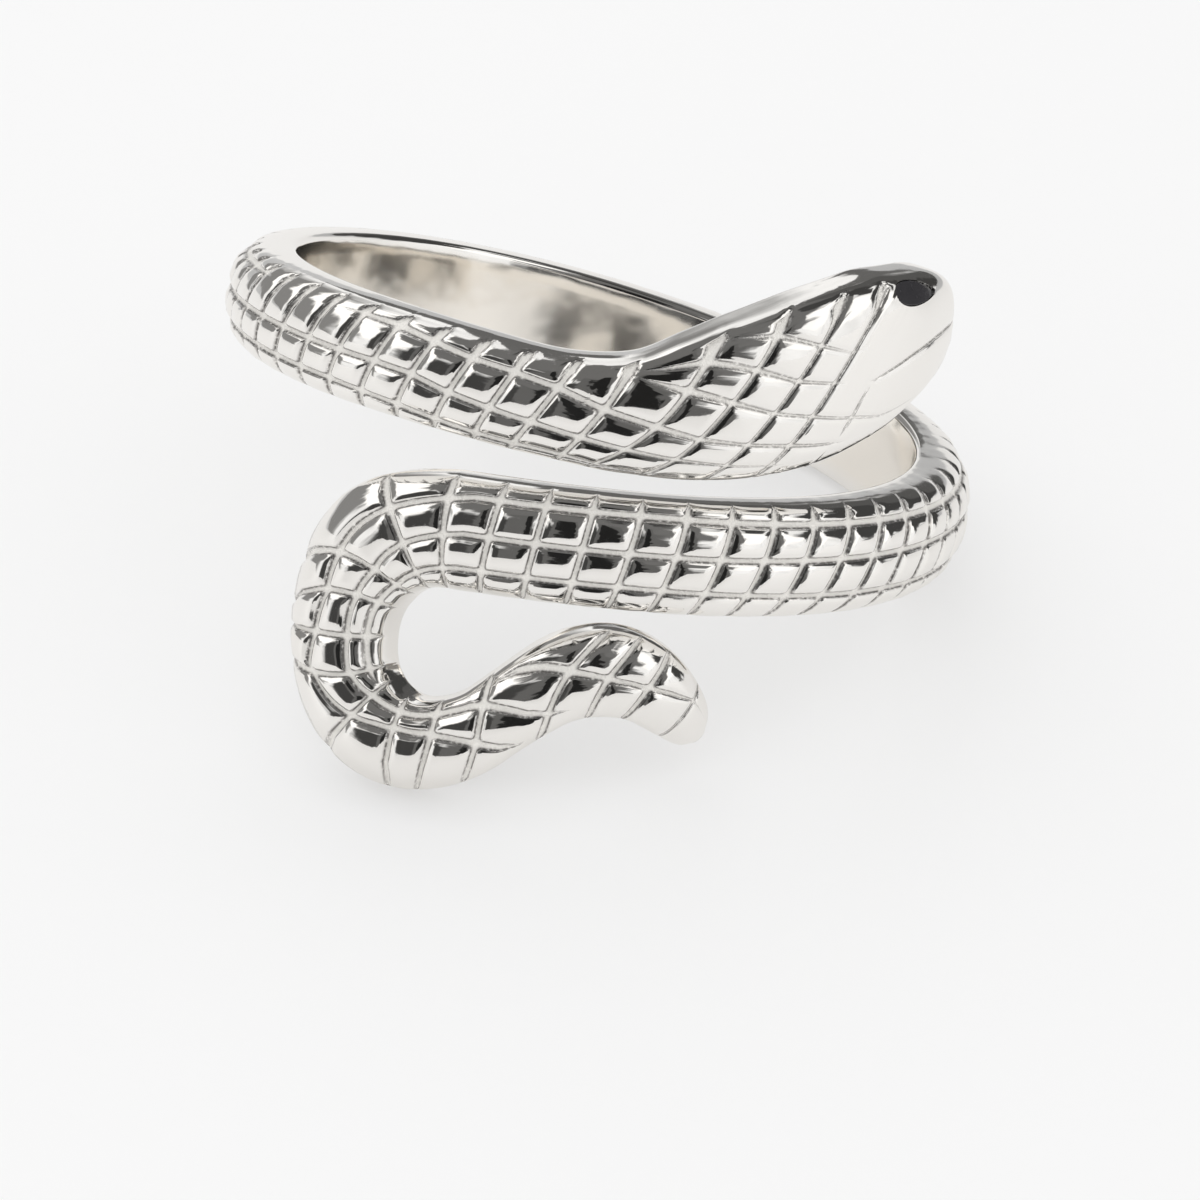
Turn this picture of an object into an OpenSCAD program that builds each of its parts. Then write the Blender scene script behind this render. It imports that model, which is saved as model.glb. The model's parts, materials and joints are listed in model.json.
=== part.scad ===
// Snake wrap ring: one cast band that winds round a finger, with a scale relief on its
// outer side, a broad head lying along the band and a tail that hooks back on itself.
// Lengths are in millimetres. The finger hole's own frame has its axis on z and the
// middle of the head's neck towards -y. The finished part leans back on its tail hook,
// the way the ring comes to rest on a table.

/* [Ring] */
// Inner diameter, the finger's size
bore_d = 17.3; // [17:0.1:20]
// Thickness of the metal from finger side to crest
wall = 1.7; // [1.4:0.05:2]
// Width of the body where it passes the front for the second time
body_w = 3.05; // [2.6:0.05:3.2]
// Length of the whole snake, in times round the band
wraps = 1.547; // [1.53:0.001:1.56]

/* [Head] */
// Angle of the nose round the finger, measured from the front
nose_turn = 66; // [60:1:72]
// Width of the head where it is broadest
head_w = 4.65; // [4:0.05:4.8]
// Length of the head from the nose to the neck
head_len = 12.3; // [11:0.1:14]

/* [Scales] */
// Length of one scale along the body
scale_len = 1.245; // [1.1:0.005:1.5]
// Width of the grooves between the scales
groove_w = 0.28; // [0.16:0.02:0.32]
// Depth of the grooves between the scales
groove_depth = 0.17; // [0.08:0.01:0.22]

/* [Eye] */
// Length of the eye along the head
eye_len = 1.66; // [1.4:0.02:1.8]
// Height of the eye
eye_w = 0.72; // [0.6:0.02:0.8]
// Depth of the socket that holds the eye
eye_depth = 0.55; // [0.4:0.05:0.7]
// Clear gap between the eye and its socket
eye_gap = 0.03; // [0.02:0.01:0.05]

/* [Rest] */
// How far the ring leans from upright on a table
lean = 21.2; // [0:0.1:30]
// Direction it leans to, measured from the right round to the back
lean_to = 62; // [0:0.5:90]

/* [Hidden] */
silver = [0.83, 0.82, 0.80];
jet = [0.16, 0.16, 0.17];

bore_r = bore_d / 2;
crest_r = bore_r + wall;
run = wraps * 2 * PI * crest_r;
edge_share = 0.32;   // height of the band's two edges, as a share of the wall
sunk = 0.35;         // depth of the swept form inside the bore before the bore is cut
fade = 0.12;         // share of the half width over which cross grooves run out at the edges
closed = 0.012;      // half the width that a closed groove keeps, as a share of the half width
head_step = 0.95;    // place across of the bend beside each edge of the head
upper_steps = [0.97, 0.91];  // places across of the two bends beside the upper edge of the body
lower_step = -0.9;   // and of the bend beside its lower edge

// The way of the snake in the unrolled band, from the nose
// [share of the run, degrees above level]
headings = [
  [0, -9], [0.012, -12], [0.03, -17], [0.045, -19], [0.07, -16.5], [0.1, -15], [0.121, -2.5],
  [0.149, 2], [0.2, -2], [0.25, -3.5], [0.35, -5], [0.4, -6], [0.45, -6.7], [0.5, -5.4],
  [0.6, -2.5], [0.65, -1], [0.7, -0.8], [0.745, -1.7], [0.785, -3.6], [0.805, -5], [0.825, -29],
  [0.845, -72], [0.865, -110], [0.885, -152],
  [0.905, -193], [0.925, -223], [0.944, -219], [0.964, -181], [0.98, -149], [1, -138]
];

// How wide the snake is
// [share of the run, width as a share of body_w]
widths = [
  [0.08, 1.43], [0.095, 1.28], [0.114, 1.03], [0.139, 0.92], [0.2, 0.94], [0.3, 0.91],
  [0.48, 0.9], [0.6, 1], [0.81, 1.01], [0.835, 1.15], [0.86, 1.1], [0.88, 0.96], [0.905, 0.79],
  [0.93, 0.73], [0.961, 0.79], [0.979, 0.7], [0.991, 0.55], [0.997, 0.41], [1, 0.2]
];

// How wide the front of the head is
// [share of the run, width as a share of head_w]
head_widths = [
  [0, 0.15], [0.0025, 0.38], [0.007, 0.53], [0.014, 0.67], [0.025, 0.8], [0.04, 0.95],
  [0.06, 1], [0.08, 0.94]
];

// How thick the snake is
// [share of the run, share of wall]
walls = [
  [0, 0.35], [0.004, 0.7], [0.012, 0.9], [0.025, 1], [0.94, 1], [0.975, 0.9], [0.99, 0.65], [1, 0.3]
];

// How far the cross grooves lean from square, the upper end towards the nose
// [share of the run, degrees]
slants = [
  [0, 0], [0.01, 18], [0.02, 31], [0.03, 39], [0.042, 43], [0.058, 46.5], [0.105, 49], [0.122, 33],
  [0.138, 29], [0.15, 23], [0.7, 22], [0.765, 10], [0.8, 8], [0.818, -15], [0.835, -38],
  [0.847, -28], [0.859, 0], [0.87, 22], [0.884, 5], [0.898, 0], [0.909, 25], [0.924, 42],
  [0.949, 49], [0.962, 30], [0.9735, 10], [0.9876, -5], [1, 0]
];

// How squarely the outer side is domed
// [share of the run, power of the curve]
domes = [[0, 2.6], [0.03, 3.2], [0.08, 3.2], [0.14, 2.4], [1, 2.3]];

// Where the six long grooves lie across the snake, 1 at its upper edge and -1 at its lower.
// The first three are on the head only. The second is the mouth's line in front.
// [share of the run, first, second, third, fourth, fifth, sixth]
line_places = [
  [0, 0.62, 0.01, -0.72, -0.8, -0.87, -0.93],
  [0.02, 0.6, 0.02, -0.73, -0.8, -0.87, -0.93],
  [0.032, 0.52, -0.08, -0.63, -0.77, -0.86, -0.93],
  [0.041, 0.45, -0.13, -0.49, -0.73, -0.85, -0.92],
  [0.0573, 0.3, 0.02, -0.29, -0.58, -0.8, -0.91],
  [0.0716, 0.5, 0.17, -0.14, -0.47, -0.72, -0.89],
  [0.0885, 0.75, 0.43, 0.1, -0.32, -0.6, -0.87],
  [0.1049, 0.9, 0.68, 0.37, -0.09, -0.48, -0.84],
  [0.1223, 0.9, 0.85, 0.8, 0.18, -0.38, -0.8],
  [0.1372, 0.9, 0.85, 0.8, 0.46, -0.27, -0.79],
  [0.15, 0.9, 0.85, 0.8, 0.57, -0.2, -0.78],
  [0.1625, 0.9, 0.85, 0.8, 0.6, -0.12, -0.72],
  [0.175, 0.9, 0.85, 0.8, 0.69, 0.02, -0.64],
  [0.187, 0.9, 0.85, 0.8, 0.77, 0.04, -0.6],
  [0.2, 0.9, 0.85, 0.8, 0.78, 0.03, -0.56],
  [0.3, 0.9, 0.85, 0.8, 0.75, 0.1, -0.5],
  [0.66, 0.9, 0.85, 0.8, 0.7, 0.16, -0.52],
  [0.75, 0.9, 0.85, 0.8, 0.76, 0.13, -0.48],
  [0.8, 0.9, 0.85, 0.8, 0.72, 0.1, -0.52],
  [0.818, 0.9, 0.85, 0.8, 0.46, -0.14, -0.66],
  [0.835, 0.9, 0.85, 0.8, 0.16, -0.4, -0.76],
  [0.848, 0.9, 0.85, 0.8, 0, -0.48, -0.78],
  [0.859, 0.9, 0.85, 0.8, 0.07, -0.51, -0.79],
  [0.868, 0.9, 0.85, 0.8, 0.26, -0.48, -0.8],
  [0.878, 0.9, 0.85, 0.8, 0.02, -0.58, -0.84],
  [0.885, 0.9, 0.85, 0.8, -0.16, -0.67, -0.87],
  [0.892, 0.9, 0.85, 0.8, -0.33, -0.71, -0.875],
  [0.9, 0.9, 0.85, 0.8, -0.42, -0.74, -0.875],
  [0.907, 0.9, 0.85, 0.8, -0.38, -0.74, -0.875],
  [0.914, 0.9, 0.85, 0.8, -0.2, -0.72, -0.875],
  [0.9195, 0.9, 0.85, 0.8, 0, -0.64, -0.87],
  [0.926, 0.9, 0.85, 0.8, 0.27, -0.42, -0.84],
  [0.933, 0.9, 0.85, 0.8, 0.57, -0.12, -0.76],
  [0.94, 0.9, 0.85, 0.8, 0.76, 0.18, -0.58],
  [0.95, 0.9, 0.85, 0.8, 0.8, 0.47, -0.26],
  [0.958, 0.9, 0.85, 0.8, 0.8, 0.6, -0.1],
  [0.965, 0.9, 0.85, 0.8, 0.8, 0.62, 0],
  [0.971, 0.9, 0.85, 0.8, 0.8, 0.62, -0.01],
  [0.976, 0.9, 0.85, 0.8, 0.8, 0.62, -0.09],
  [0.982, 0.9, 0.85, 0.8, 0.8, 0.6, -0.27],
  [0.9876, 0.9, 0.85, 0.8, 0.8, 0.5, -0.5],
  [1, 0.9, 0.85, 0.8, 0.8, 0.4, -0.5]
];

// How far the six long grooves are open, 0 closed to 1 full
// [share of the run, first, second, third, fourth, fifth, sixth]
line_opens = [
  [0, 0, 0, 0, 0, 0, 0],
  [0.012, 0, 0.5, 0, 0, 0, 0],
  [0.03, 0, 0.5, 0.25, 0, 0, 0],
  [0.04, 0, 0.35, 0.35, 0.1, 0, 0],
  [0.045, 0, 0, 0.35, 0.35, 0, 0],
  [0.053, 0, 0, 0.4, 0.5, 0.1, 0],
  [0.0573, 0.2, 0.35, 0.45, 0.55, 0.2, 0],
  [0.0716, 0.45, 0.5, 0.5, 0.55, 0.4, 0],
  [0.0885, 0.6, 0.65, 0.65, 0.65, 0.55, 0.2],
  [0.1049, 0, 0.8, 0.9, 0.85, 0.75, 0.45],
  [0.1223, 0, 0, 0, 1, 0.95, 0.8],
  [0.1372, 0, 0, 0, 1, 1, 1],
  [0.19, 0, 0, 0, 1, 1, 1],
  [0.21, 0, 0, 0, 0, 1, 1],
  [0.24, 0, 0, 0, 0, 1, 1],
  [0.26, 0, 0, 0, 1, 1, 1],
  [0.868, 0, 0, 0, 1, 1, 1],
  [0.882, 0, 0, 0, 1, 1, 0],
  [0.926, 0, 0, 0, 1, 1, 0],
  [0.934, 0, 0, 0, 0.9, 1, 1],
  [0.944, 0, 0, 0, 0, 0.9, 1],
  [0.957, 0, 0, 0, 0, 0, 1],
  [0.98, 0, 0, 0, 0, 0, 0.8],
  [0.99, 0, 0, 0, 0, 0, 0.2],
  [1, 0, 0, 0, 0, 0, 0]
];

// How far the cross grooves are open
// [share of the run, 0 closed to 1 full]
row_opens = [
  [0, 0], [0.04, 0.4], [0.0573, 0.55], [0.0716, 0.55], [0.0885, 0.65], [0.105, 0.85], [0.122, 1],
  [0.975, 1], [0.9876, 0.5], [0.99, 0.4]
];

// Places along the run
nose_rings = [0, 0.0012, 0.004, 0.009, 0.016, 0.025, 0.034, 0.044];
head_rows = [0.0573, 0.0716, 0.0885, 0.1049];
neck_scale = 1.2;    // length of the first scale behind the head, in scales
bend_share = 0.79;   // where the tail starts to bend, with two more rings in each scale from there
hook_share = 0.807;  // no scale of the even length starts past it
hook_rows = [
  0.818, 0.835, 0.847, 0.859, 0.87, 0.884, 0.898, 0.909, 0.924, 0.949, 0.962, 0.9735, 0.9876
];
tail_rings = [0.9915, 0.996, 0.999, 1];

// The eye's place on the head
eye_share = 0.03;    // of the run
eye_place = 0.8;     // across
eye_tilt = 38;       // how far it looks up
eye_sides = 28;
eye_fullness = 1.25; // evens out the height that the pointed end takes away
eye_point = 0.7;     // how sharply the front end is pointed
eye_dome_r = 4;      // radius of the eye's rounded face
eye_sunk = 0.05;     // depth of that face's top below the head's surface

// Height of the cut that opens the finger's hole, more than the ring's own height
bore_cut = 30;

// The steps that the way is summed in
way_steps = 500;
way_step = run / way_steps;

function column(table, k) = [for (row = table) [row[0], row[k]]];
heading_table = column(headings, 1);
width_table = concat(
  [for (row = head_widths) [row[0], row[1] * head_w]],
  [for (row = widths) if (row[0] > 0.081) [row[0], row[1] * body_w]]
);
wall_table = column(walls, 1);
slant_table = column(slants, 1);
row_open_table = column(row_opens, 1);
dome_table = column(domes, 1);
head_line_count = 3;
line_count = len(line_places[0]) - 1;
line_place_tables = [for (k = [1 : line_count]) column(line_places, k)];
line_open_tables = [for (k = [1 : line_count]) column(line_opens, k)];

function heading(share) = lookup(share, heading_table);
function half_width(share) = lookup(share, width_table) / 2;
function thickness(share) = wall * lookup(share, wall_table);

// Centre of the snake in the unrolled band: along the band and up from the nose
way = [
  for (i = 0, p = [0, 0]; i <= way_steps;
       p = p + way_step * [cos(heading((i + 0.5) / way_steps)), sin(heading((i + 0.5) / way_steps))],
       i = i + 1)
    [i / way_steps, p[0], p[1]]
];
along_table = column(way, 1);
up_table = column(way, 2);
mid_up = (min([for (p = way) p[2]]) + max([for (p = way) p[2]])) / 2;

// Height of the plain outer side above the bore, at a place across from -1 to 1
function dome(share, across) =
  let (power = lookup(share, dome_table))
  thickness(share)
  * (edge_share + (1 - edge_share) * pow(1 - pow(min(abs(across), 1), power), 1 / power));

// A point of the snake: its share of the run, its place across and its height above the bore
function spot(share, across, height) =
  let (side = across * half_width(share),
       turned = heading(share),
       along = lookup(share, along_table) - side * sin(turned),
       up = lookup(share, up_table) + side * cos(turned) - mid_up,
       angle = nose_turn - along / crest_r * 180 / PI,
       r = bore_r + height)
  [r * sin(angle), -r * cos(angle), up];

// The cross rings of the form: [share of the run, how deep a cross groove is there]
function row_rings(share) =
  let (open = lookup(share, row_open_table), half = groove_w / 2 * max(open, 0.3) / run)
  [[share - half, 0], [share, open], [share + half, 0]];
head_rings = concat(
  [for (share = nose_rings) [share, 0]],
  [for (share = head_rows) each row_rings(share)]
);
body_rows = concat(
  [head_len / run],
  [for (place = [head_len + neck_scale * scale_len : scale_len : hook_share * run]) place / run],
  hook_rows
);
function bend_rings(share, next) =
  share > bend_share ? [for (part = [1, 2]) [share + part / 3 * (next - share), 0]] : [];
body_rings = concat(
  [for (k = [0 : len(body_rows) - 2])
    each concat(row_rings(body_rows[k]), bend_rings(body_rows[k], body_rows[k + 1]))],
  row_rings(body_rows[len(body_rows) - 1]),
  [for (share = tail_rings) [share, 0]]
);

// A ring's places across, from the upper edge to the lower: [place, how deep a long groove is]
function line_spots(share, k) =
  let (open = lookup(share, line_open_tables[k]),
       place = lookup(share, line_place_tables[k]),
       half = max(groove_w / 2 * open / half_width(share), closed))
  [[place + half, 0], [place, open], [place - half, 0]];
function head_places(share) = concat(
  [[1, 0], [head_step, 0]],
  [for (k = [0 : line_count - 1]) each line_spots(share, k)],
  [[-head_step, 0], [-1, 0]]
);
function body_places(share) = concat(
  [[1, 0], [upper_steps[0], 0], [upper_steps[1], 0]],
  [for (k = [head_line_count : line_count - 1]) each line_spots(share, k)],
  [[lower_step, 0], [-1, 0]]
);

// A place on a ring that leans along the snake, as a share of the run
function leaned(share, across) =
  min(max(share - tan(lookup(share, slant_table)) * across * half_width(share) / run, 0), 1);

// The points of one ring: its outer side, then the two corners inside the bore
function ring_points(ring, places) = concat(
  [for (place = places)
    let (share = leaned(ring[0], place[0]),
         run_out = min((1 - abs(place[0])) / fade, 1),
         cut = groove_depth * max(place[1], ring[1] * run_out))
    spot(share, place[0], dome(share, place[0]) - cut)],
  [spot(leaned(ring[0], -1), -1, -sunk), spot(leaned(ring[0], 1), 1, -sunk)]
);
head_cloud = [for (ring = head_rings) each ring_points(ring, head_places(ring[0]))];
body_cloud = [for (ring = body_rings) each ring_points(ring, body_places(ring[0]))];

head_size = 2 + 3 * line_count + 2 + 2;
body_size = 3 + 3 * (line_count - head_line_count) + 2 + 2;
body_start = len(head_cloud);
body_end = body_start + len(body_cloud) - body_size;

// The faces between one ring and the next of the same size
function sleeve(start, size) = [
  for (j = [0 : size - 1])
    let (a = start + j, b = start + (j + 1) % size)
    each [[a, b, b + size], [a, b + size, a + size]]
];

// Where each point of the last head ring joins the first body ring: the head's own lines
// all end at the body's second upper bend
own_points = 3 * head_line_count;
function joined(j) = body_start + (j < 2 ? j : j < 2 + own_points ? 2 : j - own_points + 1) % body_size;
function neck(start) = [
  for (j = [0 : head_size - 1])
    let (a = start + j, b = start + (j + 1) % head_size, c = joined(j), d = joined((j + 1) % head_size))
    each c == d ? [[a, b, d]] : [[a, b, d], [a, d, c]]
];
function cap(start, size, turned) = [
  for (j = [1 : size - 2])
    turned ? [start, start + j + 1, start + j] : [start, start + j, start + j + 1]
];

module snake_form() {
  polyhedron(
    concat(head_cloud, body_cloud),
    concat(
      cap(0, head_size, true),
      [for (i = [0 : len(head_rings) - 2]) each sleeve(i * head_size, head_size)],
      neck((len(head_rings) - 1) * head_size),
      [for (i = [0 : len(body_rings) - 2]) each sleeve(body_start + i * body_size, body_size)],
      cap(body_end, body_size, false)
    )
  );
}

// The ring stands on the table with the origin under the middle of its box. That place is
// found from the outer points and from the bore's rims, turned as the ring is when it leans.
function about_z(turn) = [[cos(turn), -sin(turn), 0], [sin(turn), cos(turn), 0], [0, 0, 1]];
function about_y(turn) = [[cos(turn), 0, sin(turn)], [0, 1, 0], [-sin(turn), 0, cos(turn)]];
rest_turn = about_z(lean_to) * about_y(lean) * about_z(-lean_to);
rim_points = [
  for (ring = concat(head_rings, body_rings), across = [-1, 1]) spot(leaned(ring[0], across), across, 0)
];
outer_points = [
  for (p = concat(head_cloud, body_cloud)) if (norm([p[0], p[1]]) > bore_r) p
];
rested = [for (p = concat(rim_points, outer_points)) rest_turn * p];
function low(k) = min([for (p = rested) p[k]]);
function high(k) = max([for (p = rested) p[k]]);
base = [(low(0) + high(0)) / 2, (low(1) + high(1)) / 2, low(2)];

module at_rest() {
  translate(-base)
    rotate([0, 0, lean_to])
      rotate([0, lean, 0])
        rotate([0, 0, -lean_to])
          children();
}

module snake_body() {
  color(silver)
    at_rest()
      difference() {
        snake_form();
        rotate([0, 0, -90])   // starts its round at the front, where the band runs past itself
          cylinder(r = bore_r, h = bore_cut, center = true, $fn = 180);
        at_eye()
          translate([0, 0, -eye_depth])
            linear_extrude(2 * eye_depth)
              almond(eye_len, eye_w);
      }
}

// Outline of the eye, an almond with its pointed end towards the nose
module almond(length, height) {
  polygon([
    for (turn = [0 : 360 / eye_sides : 359])
      [length / 2 * cos(turn), height / 2 * sin(turn) * eye_fullness * pow(sin(turn / 2), eye_point)]
  ]);
}

// Puts an outline on the head's upper shoulder, looking out along the shoulder's own slope
module at_eye() {
  rotate([0, 0, nose_turn - lookup(eye_share, along_table) / crest_r * 180 / PI])
    translate([0, -bore_r - dome(eye_share, eye_place),
               lookup(eye_share, up_table) + eye_place * half_width(eye_share) - mid_up])
      rotate([90 - eye_tilt, 0, 0])
        children();
}

module eye() {
  color(jet)
    at_rest()
      at_eye()
        intersection() {
          translate([0, 0, eye_gap - eye_depth])
            linear_extrude(eye_depth)
              almond(eye_len - 2 * eye_gap, eye_w - 2 * eye_gap);
          translate([0, 0, -eye_dome_r - eye_sunk])
            sphere(r = eye_dome_r, $fn = 120);
        }
}

snake_body();
eye();
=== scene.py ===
# %% [markdown]
# # A cast silver snake ring
# The ring is one casting: a snake wound one and a half times round a finger, with a broad
# head that lies along the band and a tail that hooks back on itself. The looks are made here
# round the solid part. That part is loaded first, because its finger hole says where the ring
# stands and how it leans on the table.

import json
import math

import bpy
import numpy as np
from mathutils import Matrix, Vector


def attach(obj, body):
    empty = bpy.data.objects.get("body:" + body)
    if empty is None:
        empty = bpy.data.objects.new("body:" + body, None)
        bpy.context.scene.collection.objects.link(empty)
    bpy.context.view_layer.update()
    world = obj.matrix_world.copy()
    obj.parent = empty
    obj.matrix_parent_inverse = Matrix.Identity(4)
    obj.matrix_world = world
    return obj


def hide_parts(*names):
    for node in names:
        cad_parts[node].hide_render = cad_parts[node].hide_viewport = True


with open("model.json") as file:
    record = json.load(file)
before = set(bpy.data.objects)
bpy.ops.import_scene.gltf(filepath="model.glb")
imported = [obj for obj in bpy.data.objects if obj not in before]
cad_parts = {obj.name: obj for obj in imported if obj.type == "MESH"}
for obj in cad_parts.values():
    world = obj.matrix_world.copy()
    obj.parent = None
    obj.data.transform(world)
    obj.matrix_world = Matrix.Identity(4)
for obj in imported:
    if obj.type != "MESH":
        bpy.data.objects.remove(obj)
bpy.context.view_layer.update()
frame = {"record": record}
bore_mount = next(m for m in frame["record"]["mounts"] if m["name"] == "finger_bore")

# %% [markdown]
# ## Sizes
# A ring maker starts from the finger: the bore is a true cylinder, and everything else is
# carried round it. Lengths are in millimetres until a mesh is made. The same sizes and
# tables shape the solid, so this finer surface lies on it.

# %% Named sizes
bore_r = 8.65
wall = 1.7
body_w = 3.05
head_w = 4.65
head_len = 12.3
nose_turn = math.radians(66)
scale_len = 1.245
neck_scale = 1.2
groove_w = 0.28
groove_depth = 0.17
edge_share = 0.32
crest_r = bore_r + wall
run = 1.547 * 2 * math.pi * crest_r
mm = 0.001
print("length of the snake", round(run, 1), "mm")

# %% [markdown]
# ## Tables
# Each table says how one thing changes along the snake, by the share of its length from the
# nose. A jeweller would draw these as templates. The first is the way itself, as headings on
# the unrolled band: 0 is level, and the hook of the tail turns through -180 and beyond.

# %% The way, the widths and the thickness
headings = np.array([
    [0, -9], [0.012, -12], [0.03, -17], [0.045, -19], [0.07, -16.5], [0.1, -15], [0.121, -2.5],
    [0.149, 2], [0.2, -2], [0.25, -3.5], [0.35, -5], [0.4, -6], [0.45, -6.7], [0.5, -5.4],
    [0.6, -2.5], [0.65, -1], [0.7, -0.8], [0.745, -1.7], [0.785, -3.6], [0.805, -5],
    [0.825, -29], [0.845, -72], [0.865, -110], [0.885, -152], [0.905, -193], [0.925, -223],
    [0.944, -219], [0.964, -181], [0.98, -149], [1, -138],
])
head_widths = np.array([
    [0, 0.15], [0.0025, 0.38], [0.007, 0.53], [0.014, 0.67], [0.025, 0.8], [0.04, 0.95],
    [0.06, 1], [0.08, 0.94],
])
body_widths = np.array([
    [0.095, 1.28], [0.114, 1.03], [0.139, 0.92], [0.2, 0.94], [0.3, 0.91], [0.48, 0.9],
    [0.6, 1], [0.81, 1.01], [0.835, 1.15], [0.86, 1.1], [0.88, 0.96], [0.905, 0.79],
    [0.93, 0.73], [0.961, 0.79], [0.979, 0.7], [0.991, 0.55], [0.997, 0.41], [1, 0.2],
])
widths = np.vstack([head_widths * [1, head_w], body_widths * [1, body_w]])
walls = np.array([
    [0, 0.35], [0.004, 0.7], [0.012, 0.9], [0.025, 1], [0.94, 1], [0.975, 0.9], [0.99, 0.65],
    [1, 0.3],
])
domes = np.array([[0, 2.6], [0.03, 3.2], [0.08, 3.2], [0.14, 2.4], [1, 2.3]])
slants = np.array([
    [0, 0], [0.01, 18], [0.02, 31], [0.03, 39], [0.042, 43], [0.058, 46.5], [0.105, 49],
    [0.122, 33], [0.138, 29], [0.15, 23], [0.7, 22], [0.765, 10], [0.8, 8], [0.818, -15],
    [0.835, -38], [0.847, -28], [0.859, 0], [0.87, 22], [0.884, 5], [0.898, 0], [0.909, 25],
    [0.924, 42], [0.949, 49], [0.962, 30], [0.9735, 10], [0.9876, -5], [1, 0],
])
print("tables", len(headings), len(widths), len(walls), len(slants))

# %% The long grooves and how far each groove is open
line_places = np.array([
    [0, 0.62, 0.01, -0.72, -0.8, -0.87, -0.93],
    [0.02, 0.6, 0.02, -0.73, -0.8, -0.87, -0.93],
    [0.032, 0.52, -0.08, -0.63, -0.77, -0.86, -0.93],
    [0.041, 0.45, -0.13, -0.49, -0.73, -0.85, -0.92],
    [0.0573, 0.3, 0.02, -0.29, -0.58, -0.8, -0.91],
    [0.0716, 0.5, 0.17, -0.14, -0.47, -0.72, -0.89],
    [0.0885, 0.75, 0.43, 0.1, -0.32, -0.6, -0.87],
    [0.1049, 0.9, 0.68, 0.37, -0.09, -0.48, -0.84],
    [0.1223, 0.9, 0.85, 0.8, 0.18, -0.38, -0.8],
    [0.1372, 0.9, 0.85, 0.8, 0.46, -0.27, -0.79],
    [0.15, 0.9, 0.85, 0.8, 0.57, -0.2, -0.78],
    [0.1625, 0.9, 0.85, 0.8, 0.6, -0.12, -0.72],
    [0.175, 0.9, 0.85, 0.8, 0.69, 0.02, -0.64],
    [0.187, 0.9, 0.85, 0.8, 0.77, 0.04, -0.6],
    [0.2, 0.9, 0.85, 0.8, 0.78, 0.03, -0.56],
    [0.3, 0.9, 0.85, 0.8, 0.75, 0.1, -0.5],
    [0.66, 0.9, 0.85, 0.8, 0.7, 0.16, -0.52],
    [0.75, 0.9, 0.85, 0.8, 0.76, 0.13, -0.48],
    [0.8, 0.9, 0.85, 0.8, 0.72, 0.1, -0.52],
    [0.818, 0.9, 0.85, 0.8, 0.46, -0.14, -0.66],
    [0.835, 0.9, 0.85, 0.8, 0.16, -0.4, -0.76],
    [0.848, 0.9, 0.85, 0.8, 0, -0.48, -0.78],
    [0.859, 0.9, 0.85, 0.8, 0.07, -0.51, -0.79],
    [0.868, 0.9, 0.85, 0.8, 0.26, -0.48, -0.8],
    [0.878, 0.9, 0.85, 0.8, 0.02, -0.58, -0.84],
    [0.885, 0.9, 0.85, 0.8, -0.16, -0.67, -0.87],
    [0.892, 0.9, 0.85, 0.8, -0.33, -0.71, -0.875],
    [0.9, 0.9, 0.85, 0.8, -0.42, -0.74, -0.875],
    [0.907, 0.9, 0.85, 0.8, -0.38, -0.74, -0.875],
    [0.914, 0.9, 0.85, 0.8, -0.2, -0.72, -0.875],
    [0.9195, 0.9, 0.85, 0.8, 0, -0.64, -0.87],
    [0.926, 0.9, 0.85, 0.8, 0.27, -0.42, -0.84],
    [0.933, 0.9, 0.85, 0.8, 0.57, -0.12, -0.76],
    [0.94, 0.9, 0.85, 0.8, 0.76, 0.18, -0.58],
    [0.95, 0.9, 0.85, 0.8, 0.8, 0.47, -0.26],
    [0.958, 0.9, 0.85, 0.8, 0.8, 0.6, -0.1],
    [0.965, 0.9, 0.85, 0.8, 0.8, 0.62, 0],
    [0.971, 0.9, 0.85, 0.8, 0.8, 0.62, -0.01],
    [0.976, 0.9, 0.85, 0.8, 0.8, 0.62, -0.09],
    [0.982, 0.9, 0.85, 0.8, 0.8, 0.6, -0.27],
    [0.9876, 0.9, 0.85, 0.8, 0.8, 0.5, -0.5],
    [1, 0.9, 0.85, 0.8, 0.8, 0.4, -0.5],
])
line_opens = np.array([
    [0, 0, 0, 0, 0, 0, 0],
    [0.012, 0, 0.5, 0, 0, 0, 0],
    [0.03, 0, 0.5, 0.25, 0, 0, 0],
    [0.04, 0, 0.35, 0.35, 0.1, 0, 0],
    [0.045, 0, 0, 0.35, 0.35, 0, 0],
    [0.053, 0, 0, 0.4, 0.5, 0.1, 0],
    [0.0573, 0.2, 0.35, 0.45, 0.55, 0.2, 0],
    [0.0716, 0.45, 0.5, 0.5, 0.55, 0.4, 0],
    [0.0885, 0.6, 0.65, 0.65, 0.65, 0.55, 0.2],
    [0.1049, 0, 0.8, 0.9, 0.85, 0.75, 0.45],
    [0.1223, 0, 0, 0, 1, 0.95, 0.8],
    [0.1372, 0, 0, 0, 1, 1, 1],
    [0.19, 0, 0, 0, 1, 1, 1],
    [0.21, 0, 0, 0, 0, 1, 1],
    [0.24, 0, 0, 0, 0, 1, 1],
    [0.26, 0, 0, 0, 1, 1, 1],
    [0.868, 0, 0, 0, 1, 1, 1],
    [0.882, 0, 0, 0, 1, 1, 0],
    [0.926, 0, 0, 0, 1, 1, 0],
    [0.934, 0, 0, 0, 0.9, 1, 1],
    [0.944, 0, 0, 0, 0, 0.9, 1],
    [0.957, 0, 0, 0, 0, 0, 1],
    [0.98, 0, 0, 0, 0, 0, 0.8],
    [0.99, 0, 0, 0, 0, 0, 0.2],
    [1, 0, 0, 0, 0, 0, 0],
])
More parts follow.
